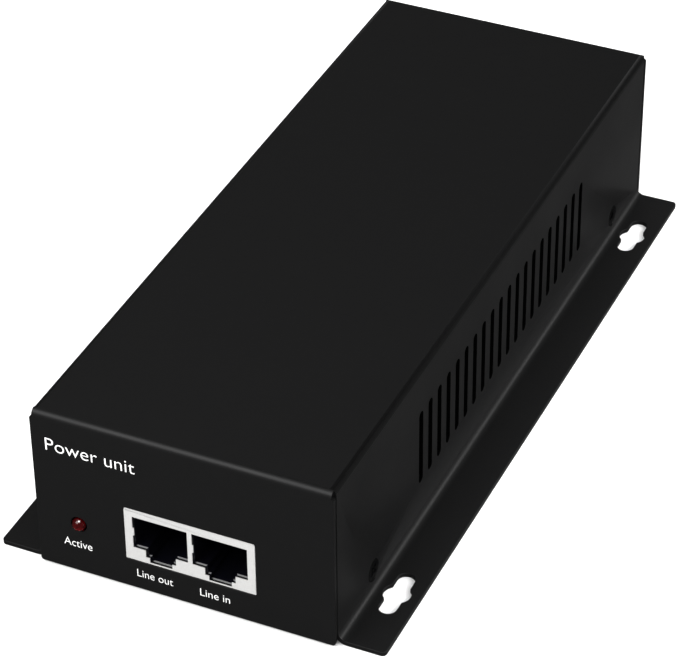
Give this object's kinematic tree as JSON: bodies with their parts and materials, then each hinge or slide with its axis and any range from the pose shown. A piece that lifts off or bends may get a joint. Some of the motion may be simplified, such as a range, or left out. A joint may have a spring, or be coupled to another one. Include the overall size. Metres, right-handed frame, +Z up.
{
  "type": "poe injector",
  "caption": "Power-over-Ethernet injector: folded black steel case with two wall flanges, vented sides, a shielded double network jack, a lamp and a rear mains inlet.",
  "frame": {"origin": "on the mounting plane, below the middle of the case (undersides of both flanges and of the bottom plate)", "axes": "+Z up out of the mounting plane; -Y out of the jack panel; +Y out of the mains inlet; +X to the right when facing the jack panel"},
  "size_m": [0.0862, 0.1802, 0.039],
  "materials": {
    "case_paint": "fine-textured satin black powder coat on folded steel sheet",
    "black_screw": "black oxide machine screws",
    "film": "thin translucent insulating film",
    "stamped_shield": "bright nickel-plated stamped sheet",
    "jack_plastic": "black moulded connector plastic",
    "gold_contact": "gold-plated spring contacts",
    "lamp_red": "clear red lamp body",
    "tinned_lead": "tinned leads and clips",
    "inlet_plastic": "black moulded inlet",
    "plated_pin": "nickel-plated blades",
    "zinc_steel": "zinc-plated fasteners",
    "shrink_sleeve": "black heat-shrink sleeve",
    "wire_brown": "brown wire insulation",
    "wire_blue": "blue wire insulation",
    "wire_green": "green wire insulation",
    "tinned_brass": "brass terminal and standoffs",
    "circuit_board": "green solder mask on glass-fibre board",
    "cream_nylon": "natural nylon connector",
    "fuse_glass": "clear glass fuse tube",
    "blue_epoxy": "dipped epoxy coating",
    "green_epoxy": "dark green dipped coating",
    "yellow_case": "yellow moulded capacitor case",
    "moulded_black": "black moulded component bodies",
    "ferrite": "grey sintered ferrite",
    "enamelled_copper": "enamelled copper wire",
    "capacitor_sleeve": "shrunk sleeve on aluminium can",
    "heatsink_alloy": "extruded aluminium",
    "polyester_tape": "yellow polyester tape",
    "white_package": "white moulded package",
    "powdered_iron": "painted powdered-iron ring",
    "printed_ink": "white screen-printed ink",
    "ceramic_chip": "ceramic chip capacitor bodies"
  },
  "bodies": {
    "case": {"cover": "case_paint", "bottom_plate": "case_paint", "case_screws": "black_screw", "insulating_film": "film", "jack_shield": "stamped_shield", "jack_housing": "jack_plastic", "jack_leads": "gold_contact", "power_led": "lamp_red", "led_leads": "tinned_lead", "led_holder": "jack_plastic", "inlet_body": "inlet_plastic", "inlet_blades": "plated_pin", "inlet_screws": "zinc_steel", "inlet_nuts": "zinc_steel", "blade_sleeves": "shrink_sleeve", "line_wire": "wire_brown", "neutral_wire": "wire_blue", "earth_wire": "wire_green", "earth_stud": "zinc_steel", "earth_ring_terminal": "tinned_brass", "earth_washer": "zinc_steel", "earth_nut": "zinc_steel", "main_board": "circuit_board", "board_standoffs": "tinned_brass", "board_screws": "zinc_steel", "mains_header": "cream_nylon", "mains_plug": "cream_nylon", "fuse_clips": "tinned_lead", "fuse_tube": "fuse_glass", "fuse_caps": "tinned_lead", "surge_varistor": "blue_epoxy", "inrush_thermistor": "green_epoxy", "x_capacitor": "yellow_case", "y_capacitors": "blue_epoxy", "choke_base": "moulded_black", "choke_core": "ferrite", "choke_windings": "enamelled_copper", "bridge_rectifier": "moulded_black", "bulk_capacitor": "capacitor_sleeve", "primary_heatsink": "heatsink_alloy", "power_transistor": "moulded_black", "transformer_core": "ferrite", "transformer_bobbin": "moulded_black", "transformer_winding": "polyester_tape", "optocouplers": "white_package", "control_chips": "moulded_black", "secondary_heatsink": "heatsink_alloy", "output_rectifier": "moulded_black", "heatsink_screws": "zinc_steel", "output_capacitors": "capacitor_sleeve", "inductor_core": "powdered_iron", "inductor_winding": "enamelled_copper", "lan_transformers": "moulded_black", "power_controller": "moulded_black", "chip_resistors": "moulded_black", "chip_capacitors": "ceramic_chip"},
    "out_contact_arms": {"out_contacts": "gold_contact"},
    "in_contact_arms": {"in_contacts": "gold_contact"}
  },
  "joints": [
    {"name": "out_contacts_flex", "type": "hinge", "parent": "case", "child": "out_contact_arms", "pos_m": [-0.0052, -0.0847, 0.01915], "axis": [1, 0, 0], "range_deg": [0, 14], "stiffness_Nm_per_rad": 0.05},
    {"name": "in_contacts_flex", "type": "hinge", "parent": "case", "child": "in_contact_arms", "pos_m": [0.008, -0.0847, 0.01915], "axis": [1, 0, 0], "range_deg": [0, 14], "stiffness_Nm_per_rad": 0.05}
  ]
}
